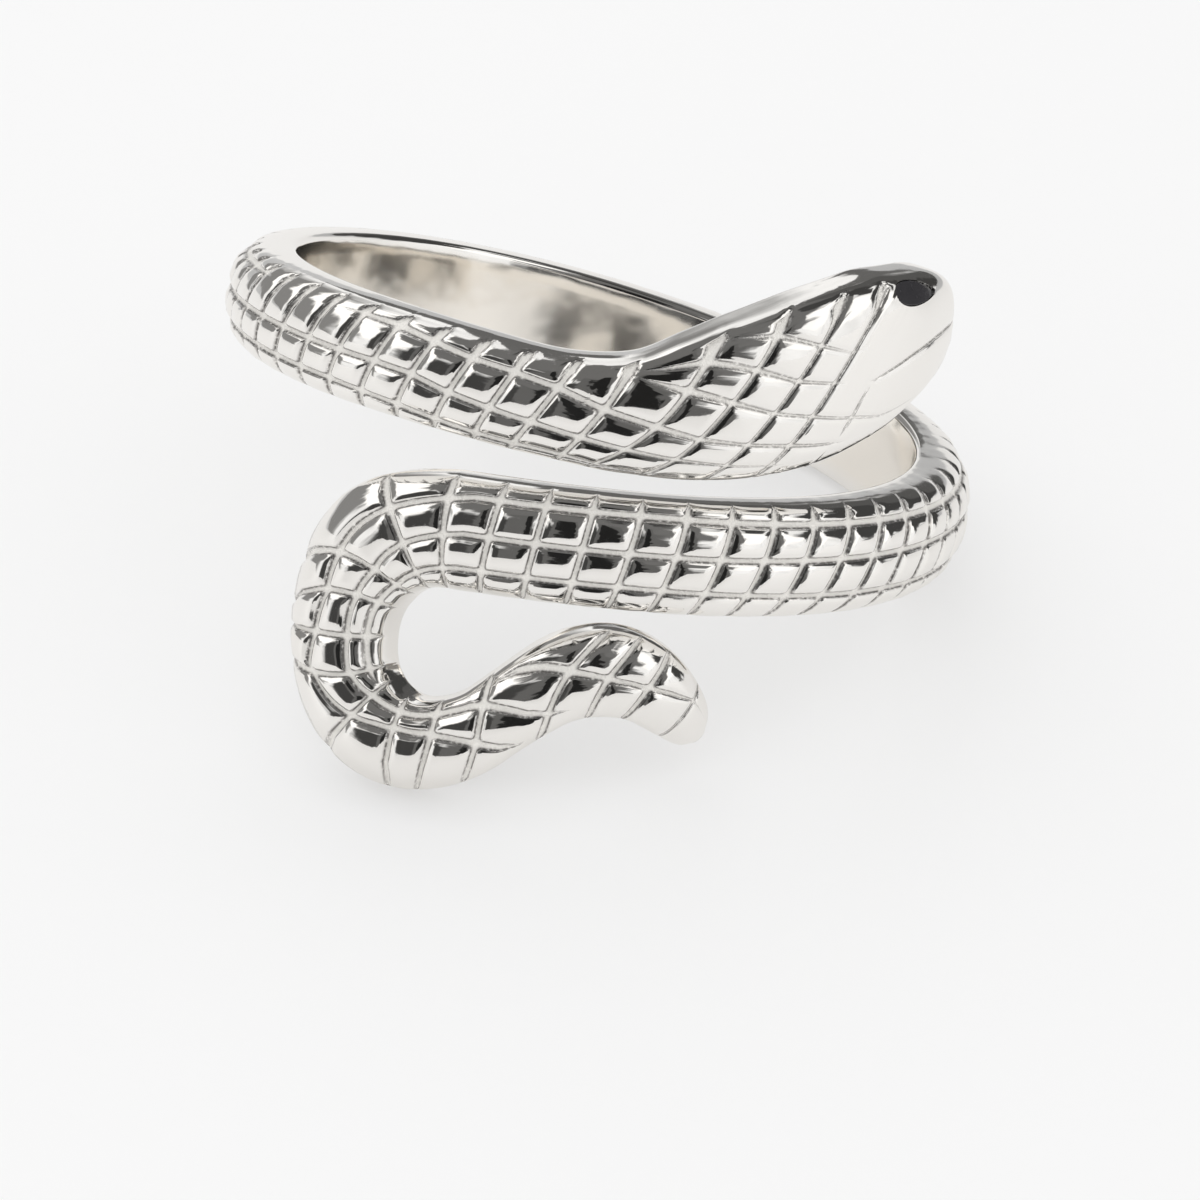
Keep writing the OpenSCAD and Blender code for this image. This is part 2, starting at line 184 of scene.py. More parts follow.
row_opens = np.array([
    [0, 0], [0.04, 0.4], [0.0573, 0.55], [0.0716, 0.55], [0.0885, 0.65], [0.105, 0.85],
    [0.122, 1], [0.975, 1], [0.9876, 0.5], [0.99, 0.4],
])
head_rows = np.array([0.0573, 0.0716, 0.0885, 0.1049]) * run
hook_share = 0.807
hook_rows = np.array([
    0.818, 0.835, 0.847, 0.859, 0.87, 0.884, 0.898, 0.909, 0.924, 0.949, 0.962, 0.9735, 0.9876,
]) * run
scale_rows = np.arange(head_len + neck_scale * scale_len, hook_share * run, scale_len)
rows = np.concatenate([head_rows, [head_len], scale_rows, hook_rows])
print("cross grooves", len(rows))

# %% [markdown]
# ## Smooth curves through short tables
# Straight lines between the table's rows would show as kinks in polished metal, which
# mirrors every bend. So each table is read through a cubic curve that never swings past its
# own rows: the slope at a row is the harmonic mean of the slopes on its two sides.


# %% A curve through a table
def curve(table, share, k=1):
    """Value of column k at the shares asked for.

    Between two rows it is the cubic that has the rows' values and slopes. The slope at a row
    is twice the product of its two neighbouring slopes over their sum, or none at a turn.
    """
    x, y = table[:, 0], table[:, k]
    rise = np.diff(y) / np.diff(x)
    left, right = rise[:-1], rise[1:]
    same_way = left * right > 0
    slope = np.zeros_like(y)
    slope[1:-1][same_way] = (2 * left * right)[same_way] / (left + right)[same_way]
    slope[0], slope[-1] = rise[0], rise[-1]
    share = np.clip(share, x[0], x[-1])
    i = np.clip(np.searchsorted(x, share, side="right") - 1, 0, len(x) - 2)
    h = x[i + 1] - x[i]
    t = (share - x[i]) / h
    return (
        (1 + 2 * t) * (1 - t) ** 2 * y[i]
        + t * (1 - t) ** 2 * h * slope[i]
        + t * t * (3 - 2 * t) * y[i + 1]
        + t * t * (t - 1) * h * slope[i + 1]
    )


def straight(table, share, k=1):
    """Value of column k by straight lines between the rows."""
    return np.interp(share, table[:, 0], table[:, k])


print("widest part of the head", round(float(curve(widths, 0.06)), 2), "mm")


# %% [markdown]
# ## Carrying the band round the finger
# The snake is drawn flat first, as a line with a heading, and then wrapped round the bore. A
# point of it has a place along, a place across and a height above the bore, so a flat
# drawing of scales becomes relief on a round ring. The solid's own way is summed in 500
# straight steps, and the same steps are used here so that both agree.

# %% The way of the snake on the unrolled band
way_steps = 500
step_mid = (np.arange(way_steps) + 0.5) / way_steps
turn_mid = np.radians(straight(headings, step_mid))
way_share = np.arange(way_steps + 1) / way_steps
way_along = np.concatenate([[0], np.cumsum(np.cos(turn_mid))]) * run / way_steps
way_up = np.concatenate([[0], np.cumsum(np.sin(turn_mid))]) * run / way_steps
mid_up = (way_up.min() + way_up.max()) / 2
print("highest and lowest of the way", round(way_up.max(), 2), round(way_up.min(), 2))


def smooth_turn(share):
    """The heading in radians, straight between rows but with each bend eased over a short way."""
    spread = np.array([-0.006, -0.003, 0, 0.003, 0.006])
    weight = np.array([1, 3, 4, 3, 1]) / 12
    return sum(w * np.radians(straight(headings, share + d)) for d, w in zip(spread, weight))


def half_width(share):
    """Half the snake's width in millimetres."""
    return curve(widths, share) / 2


def dome_height(across, power, thick):
    """Height of the domed outer side above the bore, at a place across of -1 to 1.

    The dome rises from the edge's share of the thickness to all of it, and its rise is one
    less the place across raised to the power, and then the power's root of that.
    """
    rise = (1 - np.minimum(np.abs(across), 1) ** power) ** (1 / power)
    return thick * (edge_share + (1 - edge_share) * rise)


def spot(share, side, height):
    """Point of the ring in its own frame: the way's place, moved sideways by side along the
    heading's normal, rolled up by the angle that its place along takes on the crest's circle,
    and lifted from the bore by height."""
    turned = smooth_turn(share)
    along = np.interp(share, way_share, way_along) - side * np.sin(turned)
    up = np.interp(share, way_share, way_up) + side * np.cos(turned) - mid_up
    angle = nose_turn - along / crest_r
    r = bore_r + height
    return np.stack([r * np.sin(angle), -r * np.cos(angle), up], axis=-1)


# %% [markdown]
# ## Where the ring stands
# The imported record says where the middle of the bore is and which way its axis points. The
# ring was turned by leaning it back in one direction, so that turn is found again from the
# axis, and every point made here takes it.

# %% From the ring's own frame to the table's
axis = Vector(bore_mount["axis"]).normalized()
lean = math.acos(axis.z)
lean_to = math.atan2(axis.y, axis.x)
rest_turn = (
    Matrix.Rotation(lean_to, 3, "Z") @ Matrix.Rotation(lean, 3, "Y") @ Matrix.Rotation(-lean_to, 3, "Z")
)
rest_turn_np = np.array(rest_turn)
bore_middle = np.array(bore_mount["pos_m"])
print("leans", round(math.degrees(lean), 1), "degrees to", round(math.degrees(lean_to), 1))


def on_table(points):
    """Points in metres as the ring stands: turned by the lean and moved to the bore's middle."""
    return points * mm @ rest_turn_np.T + bore_middle


# %% [markdown]
# ## The eye's place
# The eye looks up and out from the upper shoulder of the head, in a socket that is rounded
# behind and pointed in front. One function says how far a point of the head is inside that
# outline, and both the socket and the eye use it.

# %% Frame and outline of the eye
eye_share = 0.03
eye_place = 0.8
eye_tilt = math.radians(38)
eye_len = 1.66
eye_w = 0.72
eye_depth = 0.55
eye_fullness = 1.25
eye_point = 0.7
shortest_share = 0.85
head_reach = 1.2
skin_height = dome_height(eye_place, straight(domes, eye_share), straight(walls, eye_share) * wall)
eye_angle = nose_turn - np.interp(eye_share, way_share, way_along) / crest_r
eye_x = np.array([math.cos(eye_angle), math.sin(eye_angle), 0])
eye_out = np.array([math.sin(eye_angle), -math.cos(eye_angle), 0])
eye_up = np.array([0, 0, 1])
eye_centre = (bore_r + skin_height) * eye_out + eye_up * (
    np.interp(eye_share, way_share, way_up) + eye_place * straight(widths, eye_share) / 2 - mid_up
)
eye_z = math.cos(eye_tilt) * eye_out + math.sin(eye_tilt) * eye_up
eye_y = np.cross(eye_z, eye_x)
print("eye centre", eye_centre.round(2))


def almond_height(turn):
    """Half height of the outline at an angle, pointed at 0 and round at a half turn."""
    return eye_w / 2 * np.sin(turn) * eye_fullness * np.abs(np.sin(turn / 2)) ** eye_point


def almond_inside(points):
    """How far inside the outline a point is, in millimetres, about.

    It is the distance to the outline straight up or down, less a share because the shortest
    way is a slanted one, and past the outline's ends it is minus the distance to the end.
    Points far from the eye's plane are on another side of the head and count as outside.
    """
    local = points - eye_centre
    x, y, z = local @ eye_x, local @ eye_y, local @ eye_z
    turn = np.arccos(np.clip(x / (eye_len / 2), -1, 1))
    edge = almond_height(turn)
    inside = (edge - np.abs(y)) * shortest_share
    past = np.abs(x) - eye_len / 2
    inside = np.where(past > 0, -np.hypot(past, y), inside)
    return np.where(np.abs(z) < head_reach, inside, -1)


# %% [markdown]
# ## Relief of scales
# On the casting the scales are pads left standing between two families of grooves. The long
# grooves run with the snake, and the cross grooves lean over it. A point's distance to the
# nearest groove decides its depth. The distances are joined softly, so the pads get the
# rounded corners that filing and polishing give. Each pad also swells a little and tips by a
# degree or two, as hand-cut scales do, which is why every one mirrors another part of the room.

# %% Values of the relief
soft_corner = 0.04
# where the floor, the steep flank and the shallow bevel end, in mm from a groove's edge
floor_end, flank_end, bevel_end = -0.1, -0.02, 0.11
bevel_depth = 0.05
thin_groove = 0.4
line_counts = 0.08
# how each pad swells, tips along and across, and stands higher or lower than its neighbours
pad_swell, swell_reach = 0.028, 0.35
pad_tip, pad_lift = 0.02, 0.006
calm_from, calm_over = 0.04, 0.14
run_out = 0.12
# masks: the matt floor, and the painted shade line at the foot of each flank
skin_reach, skin_soft = 0.06, 0.05
foot_shade_at, foot_shade_w = -0.065, 0.02
mask_gain = 1.6
# the flare of the first turn's cross grooves and their bent, pointed tips
flare_first, flare_last = 0.05, 0.3
flare_from, flare_full, flare_end = 0.58, 0.86, 1.0
flare_open, flare_more, tip_less = 0.9, 0.4, 1.3
tip_bend, tip_turns = 0.25, 0.065
# one short groove on the cheek
cheek_groove, cheek_soft = 4.3, 0.12
cheek_from, cheek_to, cheek_open = -0.67, -0.14, 0.4
nearly_none = 1e-12
chance = np.random.default_rng(11)
pad_chance = chance.normal(size=(len(rows) + 1, 8, 3)).clip(-2, 2)
print("pads with a tilt of their own", pad_chance.shape[0] * pad_chance.shape[1])


def eased(x):
    """0 to 1 with level ends: three squares less two cubes."""
    x = np.clip(x, 0, 1)
    return x * x * (3 - 2 * x)


def grown(opened):
    """How wide a groove is, as a share of the full width, for how far it is open."""
    return thin_groove + (1 - thin_groove) * opened


# %% Depth of the relief at any place
def relief(place, across):
    """Change of height, floor mask and painted foot shade mask for places along (mm) and across (-1..1).

    Clear distance is the distance to a groove's middle less half its width. The soft nearest
    distance is minus the log of the sum of exponentials. From the pad inwards the depth eases
    down a shallow bevel, then down a steep flank to the floor, and the pads swell by one less
    an exponential of the distance. Towards the upper edge the cross grooves of the first turn
    flare and then end in a bent point, as where a round file leaves the metal. The floor mask
    is 1 on a groove's floor, and the foot shade mask is a bell curve of the distance at its foot:
    it places a line of painted shade in the crease.
    """
    share = place / run
    half = half_width(share)
    square = np.cos(np.radians(straight(slants, share)))
    lines_v = np.stack([straight(line_places, share, k) for k in range(1, 7)], -1)
    lines_open = np.stack([straight(line_opens, share, k) for k in range(1, 7)], -1)
    edge_fade = np.clip((1 - np.abs(across)) / run_out, 0, 1)
    first_turn = (share < flare_last) * (share > flare_first)
    flare = eased((across - flare_from) / (flare_full - flare_from)) * first_turn
    tip = eased((across - flare_full) / (flare_end - flare_full)) * first_turn
    bent = place + tip_bend * tip * np.where(share < tip_turns, -1, 1)
    row_open = np.maximum(straight(row_opens, share), flare_open * flare) * edge_fade
    row_wide = 1 + flare_more * flare - tip_less * tip
    cheek_v = eased((across - cheek_from) / cheek_soft) * eased((cheek_to - across) / cheek_soft)
    families = [
        (np.abs(bent[..., None] - rows).min(-1) * square, row_open, row_wide),
        (np.abs(place - cheek_groove) * square, cheek_open * cheek_v, 1),
    ]
    for k in range(6):
        families.append((np.abs(across - lines_v[..., k]) * half, lines_open[..., k], 1))
    clear = np.stack([gap / grown(o) - groove_w / 2 * wide for gap, o, wide in families])
    opens = np.stack([o for gap, o, wide in families])
    pull = opens * np.exp(-np.clip(clear, -0.5, 1) / soft_corner)
    near = -soft_corner * np.log(pull.sum(0) + nearly_none)
    opened = (opens * pull).sum(0) / (pull.sum(0) + nearly_none)
    flank = eased((flank_end - near) / (flank_end - floor_end))
    bevel = eased((bevel_end - near) / (bevel_end - flank_end))
    cut = (groove_depth - bevel_depth) * flank + bevel_depth * bevel
    swell = pad_swell * opened * (1 - np.exp(-np.maximum(near, 0) / swell_reach))
    row_i = np.searchsorted(rows, place)
    stands = lines_open > line_counts
    line_i = (stands & (across[..., None] < lines_v)).sum(-1)
    tips = pad_chance[row_i, line_i]
    edges = np.concatenate([[0], rows, [run]])
    mid = (edges[row_i] + edges[row_i + 1]) / 2
    lean_along = (place - mid) / scale_len * pad_tip * tips[..., 0]
    above = np.where(stands & (lines_v > across[..., None]), lines_v, 1).min(-1)
    below = np.where(stands & (lines_v <= across[..., None]), lines_v, -1).max(-1)
    lean_across = (across - (above + below) / 2) * pad_tip * tips[..., 1]
    calm = eased((near - calm_from) / calm_over) * opened
    change = swell - opened * cut + calm * (lean_along + lean_across + pad_lift * tips[..., 2])
    strength = eased(opened * mask_gain)
    floor = eased((floor_end + skin_reach - near) / skin_soft) * strength
    # painted shade: a thin line at the foot of each flank, where the crease is in shade
    foot_shade = np.exp(-(((near - foot_shade_at) / foot_shade_w) ** 2)) * strength
    return change, floor, foot_shade


print("a cross groove's floor lies at", relief(rows[20:21], np.array([0.4]))[0].round(3), "mm")

# %% [markdown]
# ## One section of the snake
# A section runs over the domed outer side from the upper edge to the lower, down the lower
# side, round a small worn corner, across the bore and up again. The dome is a squared circle:
# height and width each raised to a power add up to one.

# %% Section
corner_r = 0.17
corner_edge, corner_half = 0.7, 0.5
side_steps = np.array([0.7, 0.35])
corner_steps = np.array([0.0, 0.25, 0.5, 0.75, 1.0]) * math.pi / 2
bore_steps = np.array([0.66, 0.33, 0.0, -0.33, -0.66])


def under_side(share):
    """Sideways places and heights of the part of the section that isn't domed, ring by ring:
    the lower side, its rounded corner, the bore, the upper corner and the upper side."""
    half = half_width(share)[:, None]
    edge = (curve(walls, share) * wall * edge_share)[:, None]
    r = np.minimum(corner_r, np.minimum(corner_edge * edge, corner_half * half))
    side_h = r + (edge - r) * side_steps
    corner_h = r * (1 - np.sin(corner_steps))
    corner_v = half - r * (1 - np.cos(corner_steps))
    flat = (half - r) * bore_steps
    side_v = half + 0 * side_h
    across = np.concatenate([-side_v, -corner_v, -flat, corner_v[:, ::-1], side_v], axis=1)
    upward = (corner_h[:, ::-1], side_h[:, ::-1])
    height = np.concatenate([side_h, corner_h, 0 * flat, *upward], axis=1)
    bore = np.concatenate([0 * side_h, 0 * corner_h, 0 * flat + 1, 0 * corner_h, 0 * side_h], axis=1)
    return across, height, bore


def lay(place, across_out):
    """Points of rings at places along, with the given places across on the outer side.

    Every ring leans along the snake by the slant's tangent times its place across, so that
    the rings lie along the cross grooves.
    """
    share = place / run
    half = half_width(share)[:, None]
    tan_slant = np.tan(np.radians(straight(slants, share)))[:, None]
    under_v, under_h, bore = under_side(share)
    side = np.concatenate([across_out * half, under_v], axis=1)
    v = side / half
    leaned = np.clip(share[:, None] - tan_slant * side / run, 0, 1)
    power = straight(domes, leaned)
    thick = curve(walls, leaned) * wall
    outer = across_out.shape[1]
    change, floor, foot_shade = relief(np.repeat(place[:, None], outer, 1), across_out)
    height = dome_height(v, power, thick)
    height[:, :outer] += change
    height[:, outer:] = under_h
    masks = np.zeros(height.shape + (3,))
    masks[:, :outer, 0] = floor
    masks[:, :outer, 1] = foot_shade
    masks[:, outer:, 2] = bore
    points = spot(leaned, v * half_width(leaned), height)
    return points, masks


print("points of a section past its outer side", under_side(np.array([0.5]))[0].shape[1])

# %% [markdown]
# ## Where the grid is fine
# Mirror-bright metal shows every facet at a groove's rim, while the middle of a pad is
# nearly flat. So the rings and columns crowd together beside the grooves. The head has six
# long grooves and the body three. The head's last ring is therefore stitched to the body's
# first, with some of its columns meeting at one point.

# %% Rings and columns
fine = np.array([0.04, 0.075, 0.105, 0.14, 0.19, 0.25])
coarse = np.array([0.05, 0.125, 0.24])
edge_steps = np.array([0, 0.012, 0.03, 0.06, 0.1])
eye_steps = np.arange(1, 9) / 9
pad_reach, edge_gap = 0.42, 0.3
eye_from, eye_to = 2.2, 5.25
joint_place = head_len + 0.55 * scale_len
plain_from, plain_to = 0.27 * run, 0.6 * run


def beside(k, steps, inner):
    """Places of the rings round cross groove k: at the steps on its two sides, square to it
    and closer where it is less open, and inner more on each side as far as the mid-scale."""
    row = rows[k]
    square = math.cos(math.radians(straight(slants, row / run)))
    near_row = steps * grown(straight(row_opens, row / run)) / square
    sides = []
    for other in (rows[k - 1], rows[min(k + 1, len(rows) - 1)]):
        reach = abs(other - row) / 2 or scale_len / 2
        steps_here = near_row * min(1, 0.8 * reach / near_row[-1])
        rest = reach - steps_here[-1]
        on_pad = steps_here[-1] + rest * (np.arange(inner) + 1) / (inner + 0.5)
        sides.append(np.concatenate([steps_here, on_pad]))
    return row + np.concatenate([-sides[0][::-1], [0], sides[1]])


first_scale = len(head_rows) + 1
ringed = []
for k in range(first_scale, len(rows)):
    if plain_from < rows[k] < plain_to:
        ringed.append(beside(k, coarse, 1))
    else:
        ringed.append(beside(k, fine, 2 if rows[k] < hook_share * run else 3))
tail_rings = run - np.array([0.8, 0.65, 0.5, 0.38, 0.27, 0.18, 0.11, 0.06, 0.02, 0])
body_rings = np.concatenate(ringed)
body_rings = body_rings[(body_rings > joint_place + 0.02) & (body_rings < run - 0.85)]
body_rings = np.concatenate([[joint_place], body_rings, tail_rings])
nose_rings = np.concatenate([run * np.array([0, 0.0001, 0.0003, 0.0007]), np.arange(0.1, eye_from, 0.06)])
eye_rings = np.arange(eye_from, eye_to, 0.034)
cheek_rings = np.arange(5.27, 5.44, 0.06)
neck_rings = np.concatenate([beside(k, fine, 3) for k in range(first_scale + 1)])
neck_rings = neck_rings[(neck_rings > cheek_rings[-1] + 0.02) & (neck_rings < joint_place - 0.03)]
head_rings = np.unique(np.round(np.concatenate([nose_rings, eye_rings, cheek_rings, neck_rings]), 4))


def columns(place, which):
    """Places across for each ring: at the fine steps beside the named long grooves, one more
    on each pad, and close together at both edges, where the section turns down. The head has
    more between its upper edge and its first groove, where the eye is."""
    half = half_width(place / run)
    lines = [straight(line_places, place / run, k) for k in which]
    stops = [np.ones_like(place)] + lines + [-np.ones_like(place)]
    parts = []
    for i in range(len(stops) - 1):
        upper, lower = stops[i], stops[i + 1]
        gap = upper - lower
        beside_it = (which[max(i - 1, 0)], which[min(i, len(which) - 1)])
        wide = [grown(straight(line_opens, place / run, k)) for k in beside_it]
        reach = [np.minimum(fine[-1] / half * w, pad_reach * gap)[:, None] / fine[-1] for w in wide]
        narrow = np.minimum(1, gap / edge_gap)[:, None]
        down = upper[:, None] - np.concatenate([[0], fine]) * reach[0]
        up = lower[:, None] + fine[::-1] * reach[1]
        if i == 0:
            down = upper[:, None] - edge_steps * narrow
        if i == len(stops) - 2:
            up = lower[:, None] + edge_steps[:0:-1] * narrow
        between = eye_steps if i == 0 and len(which) == 6 else np.array([0.5])
        parts += [down, down[:, -1:] + (up[:, :1] - down[:, -1:]) * between, up]
    return np.concatenate(parts + [-np.ones((len(place), 1))], axis=1)


head_v = columns(head_rings, (1, 2, 3, 4, 5, 6))
body_v = columns(body_rings, (4, 5, 6))
print("head grid", head_v.shape, "body grid", body_v.shape)
print("columns in order:", (np.diff(head_v) < 0).all(), (np.diff(body_v) < 0).all())
print("rings in order:", (np.diff(head_rings) > 0).all(), (np.diff(body_rings) > 0).all())

# %% [markdown]
# ## The casting's mesh
# Rows of points become four-sided faces by index arithmetic alone. Both ends are closed with
# a fan round a middle point.

# %% Faces between rings
def sleeve(start, count, size):
    """Faces between neighbouring rings of one size, each closed on itself."""
    i, j = np.meshgrid(np.arange(count - 1), np.arange(size), indexing="ij")
    a, b = start + i * size + j, start + i * size + (j + 1) % size
    return np.stack([a, b, b + size, a + size], -1).reshape(-1, 4).tolist()


def seam(head_last, head_size, body_first, meets):
    """Faces between the head's last ring and the body's first, where meets says which body
    point each head point goes to. Two that meet at one point give a triangle."""
    a = head_last + np.arange(head_size)
    b = np.roll(a, -1)
    c = body_first + meets
    d = np.roll(c, -1)
    return [[p, q, s, r] if r != s else [p, q, r] for p, q, r, s in zip(a, b, c, d)]


def pair_columns(many, few):
    """For each of many places the one of the few that it joins, all in order and none left out,
    with the least sum of distances. Each step either stays at a place or goes on by one."""
    apart = np.abs(many[:, None] - few[None])
    total = np.full(apart.shape, np.inf)
    total[0, 0] = apart[0, 0]
    for i in range(1, len(many)):
        went_on = np.concatenate([[np.inf], total[i - 1, :-1]])
        total[i] = apart[i] + np.minimum(total[i - 1], went_on)
    joined = [len(few) - 1]
    for i in range(len(many) - 2, -1, -1):
        j = joined[0]
        joined.insert(0, j - 1 if j and total[i, j - 1] < total[i, j] else j)
    return np.array(joined)


def fan(start, size, middle, turned):
    """Triangles from a ring to a middle point."""
    a = start + np.arange(size)
    b = np.roll(a, -1)
    m = np.full(size, middle)
    return np.stack([b, a, m] if turned else [a, b, m], -1).tolist()


def mesh_from(name, points, faces, layers):
    """A smooth-shaded mesh object at the origin, with its masks as point attributes."""
    mesh = bpy.data.meshes.new(name)
    mesh.from_pydata(points.tolist(), [], faces)
    for layer, values in layers.items():
        attribute = mesh.attributes.new(layer, "FLOAT", "POINT")
        attribute.data.foreach_set("value", values.astype(np.float32))
    mesh.polygons.foreach_set("use_smooth", np.ones(len(mesh.polygons), bool))
    mesh.update()
    piece = bpy.data.objects.new(name, mesh)
    bpy.context.scene.collection.objects.link(piece)
    return piece


print("faces of a sleeve of 3 rings of 8", len(sleeve(0, 3, 8)))

# %% A crisp rim for the eye's socket
unset = 9.0


def sink_socket(points):
    """Move the grid's nearest points onto the eye's outline, then lower those inside it.

    Wherever a grid line crosses the outline, the nearer of its two points slides along the
    line to the crossing. It becomes part of the rim and stays at the surface.
    """
    inside = almond_inside(points)
    moved, best = points.copy(), np.full(inside.shape, unset)
    rows_n, columns_n = inside.shape
    for a, b in (
        ((slice(0, rows_n - 1), slice(None)), (slice(1, rows_n), slice(None))),
        ((slice(None), slice(0, columns_n - 1)), (slice(None), slice(1, columns_n))),
    ):
        ends = inside[a], inside[b]
        crossed = ends[0] * ends[1] < 0
        way = np.where(crossed, ends[0] / np.where(crossed, ends[0] - ends[1], 1), unset)
        target = points[a] + np.clip(way, 0, 1)[..., None] * (points[b] - points[a])
        for end, share in ((a, way), (b, 1 - way)):
            take = crossed & (share <= 0.5) & (share < best[end])
            moved[end] = np.where(take[..., None], target, moved[end])
            best[end] = np.where(take, share, best[end])
    sunk = ((inside > 0) & (best > 1)).astype(float)
    return moved - (sunk * eye_depth)[..., None] * eye_z, sunk


def along_rim(faces, sunk):
    """Faces with one corner across the socket's rim are split so that the rim is an edge. Also
    gives the edges where the socket's wall meets the skin and the socket's floor."""
    split, crisp = [], set()
    for face in faces:
        deep = [sunk[i] for i in face]
        if sum(deep) in (0, len(face)):
            split.append(face)
            continue
        pieces = [face]
        if len(face) == 4 and sum(deep) != 2:
            k = deep.index(sum(deep) == 1)
            a, b, c, d = face[k:] + face[:k]
            pieces = [[a, b, d], [b, c, d]]
        split += pieces
        wall_piece = pieces[0]
        for i, j in zip(wall_piece, wall_piece[1:] + wall_piece[:1]):
            if sunk[i] == sunk[j]:
                crisp.add(frozenset((i, j)))
    return split, crisp


print("socket", eye_len, "x", eye_w, "x", eye_depth, "mm")

# %% Head and body in one piece
head_points, head_masks = lay(head_rings, head_v)
body_points, body_masks = lay(body_rings, body_v)
outer_head, outer_body = head_v.shape[1], body_v.shape[1]
head_size, body_size = head_points.shape[1], body_points.shape[1]
head_points[:, :outer_head], sunk = sink_socket(head_points[:, :outer_head])
meets = pair_columns(head_v[-1], body_v[0])
meets = np.concatenate([meets, outer_body + np.arange(head_size - outer_head)])
print("every body column met:", len(set(meets)) == body_size)
head_count, body_count = len(head_rings), len(body_rings)
body_start = head_count * head_size
tail_start = body_start + (body_count - 1) * body_size
points = np.concatenate([head_points.reshape(-1, 3), body_points.reshape(-1, 3)])
ends = np.stack([head_points[0].mean(0), body_points[-1].mean(0)])
middle = len(points)
faces = fan(0, head_size, middle, True)
sunk_all = np.zeros((head_count, head_size), int)
sunk_all[:, :outer_head] = sunk
head_faces, crisp_edges = along_rim(sleeve(0, head_count, head_size), sunk_all.ravel().tolist())
faces += head_faces
faces += seam(body_start - head_size, head_size, body_start, meets)
faces += sleeve(body_start, body_count, body_size)
faces += fan(tail_start, body_size, middle + 1, False)
masks = np.concatenate([head_masks.reshape(-1, 3), body_masks.reshape(-1, 3), np.zeros((2, 3))])
layers = {name: masks[:, k] for k, name in enumerate(("floor", "foot_shade", "bore"))}
casting = mesh_from("snake_casting", on_table(np.concatenate([points, ends])), faces, layers)
for edge in casting.data.edges:
    edge.use_edge_sharp = frozenset(edge.vertices) in crisp_edges
triangles = sum(len(f) - 2 for f in faces)
print("casting", len(faces), "faces", triangles, "triangles")

# %% [markdown]
# ## The eye
# Black enamel is fired into the socket and polished to a low dome just below the metal. It is
# made as rings of the same outline that shrink towards its highest point, with a short wall
# that goes down into the socket.

# %% Enamel inlay
eye_sides = 96
eye_rings_in = np.array([1.0, 0.97, 0.92, 0.84, 0.74, 0.62, 0.48, 0.33, 0.16])
eye_top = -0.05
eye_dome_r = 4
edge_drop = 0.02
fit_gap = 0.03
turn = np.arange(eye_sides) / eye_sides * 2 * math.pi
rim_x = (eye_len / 2 - fit_gap) * np.cos(turn)
rim_y = almond_height(turn) * (1 - 2 * fit_gap / eye_w)
x = eye_rings_in[:, None] * rim_x
y = eye_rings_in[:, None] * rim_y
z = eye_top - eye_dome_r + np.sqrt(eye_dome_r**2 - x**2 - y**2)
wall_x, wall_y = np.stack([rim_x] * 2), np.stack([rim_y] * 2)
wall_z = np.stack([np.full(eye_sides, -eye_depth + fit_gap), z[0] - edge_drop])
x, y, z = (np.concatenate([w, d]) for w, d in ((wall_x, x), (wall_y, y), (wall_z, z)))
eye_points = eye_centre + x[..., None] * eye_x + y[..., None] * eye_y + z[..., None] * eye_z
eye_count = len(x)
eye_ends = np.stack([
    eye_centre + (fit_gap - eye_depth) * eye_z,
    eye_centre + eye_top * eye_z,
])
eye_points = np.concatenate([eye_points.reshape(-1, 3), eye_ends])
last = (eye_count - 1) * eye_sides
eye_faces = sleeve(0, eye_count, eye_sides)
eye_faces += fan(0, eye_sides, eye_count * eye_sides, True)
eye_faces += fan(last, eye_sides, eye_count * eye_sides + 1, False)
enamel_eye = mesh_from("enamel_eye", on_table(eye_points), eye_faces, {})
print("eye", len(eye_faces), "faces")

# %% Faces look outwards
for piece in (casting, enamel_eye):
    mesh = piece.data
    corner = np.zeros(len(mesh.vertices) * 3)
    mesh.vertices.foreach_get("co", corner)
    corner = corner.reshape(-1, 3)
    mesh.calc_loop_triangles()
    tri = np.zeros(len(mesh.loop_triangles) * 3, int)
    mesh.loop_triangles.foreach_get("vertices", tri)
    a, b, c = corner[tri.reshape(-1, 3)].transpose(1, 0, 2)
    volume = np.einsum("ij,ij->i", a, np.cross(b, c)).sum() / 6
    if volume < 0:
        mesh.flip_normals()
    volume_mm3 = abs(volume) / mm**3
    print(piece.name, "volume", round(volume_mm3, 1), "mm3, turned round:", volume < 0)

# %% [markdown]
# ## Marks that both finishes share
# Silver and enamel both carry fine wiping scratches. They are thin noise drawn out in one
# direction, and one group of nodes makes them for both, with its own scale and strength in
# each material.


# %% Helpers for shader nodes
def add(tree, kind, **settings):
    """A new node with its settings."""
    node = tree.nodes.new(kind)
    for key, value in settings.items():
        setattr(node, key, value)
    return node


def give(tree, socket, value):
    """Link an input to another node's output, or set its value."""
    if isinstance(value, bpy.types.NodeSocket):
        tree.links.new(value, socket)
    else:
        socket.default_value = value


def noise(tree, place, scale, detail=2):
    """Cloudy noise from 0 to 1 over a place."""
    node = add(tree, "ShaderNodeTexNoise")
    for name, value in (("Vector", place), ("Scale", scale), ("Detail", detail)):
        give(tree, node.inputs[name], value)
    return node.outputs["Fac"]


def ramp(tree, value, low, high, kind="LINEAR"):
    """0 at low and 1 at high, straight or eased between them."""
    node = add(tree, "ShaderNodeMapRange", interpolation_type=kind)
    for name, given in (("Value", value), ("From Min", low), ("From Max", high)):
        give(tree, node.inputs[name], given)
    return node.outputs["Result"]


def worked(tree, operation, *values):
    """One sum, product or other working of up to three values or sockets."""
    node = add(tree, "ShaderNodeMath", operation=operation)
    for i, value in enumerate(values):
        give(tree, node.inputs[i], value)
    return node.outputs["Value"]


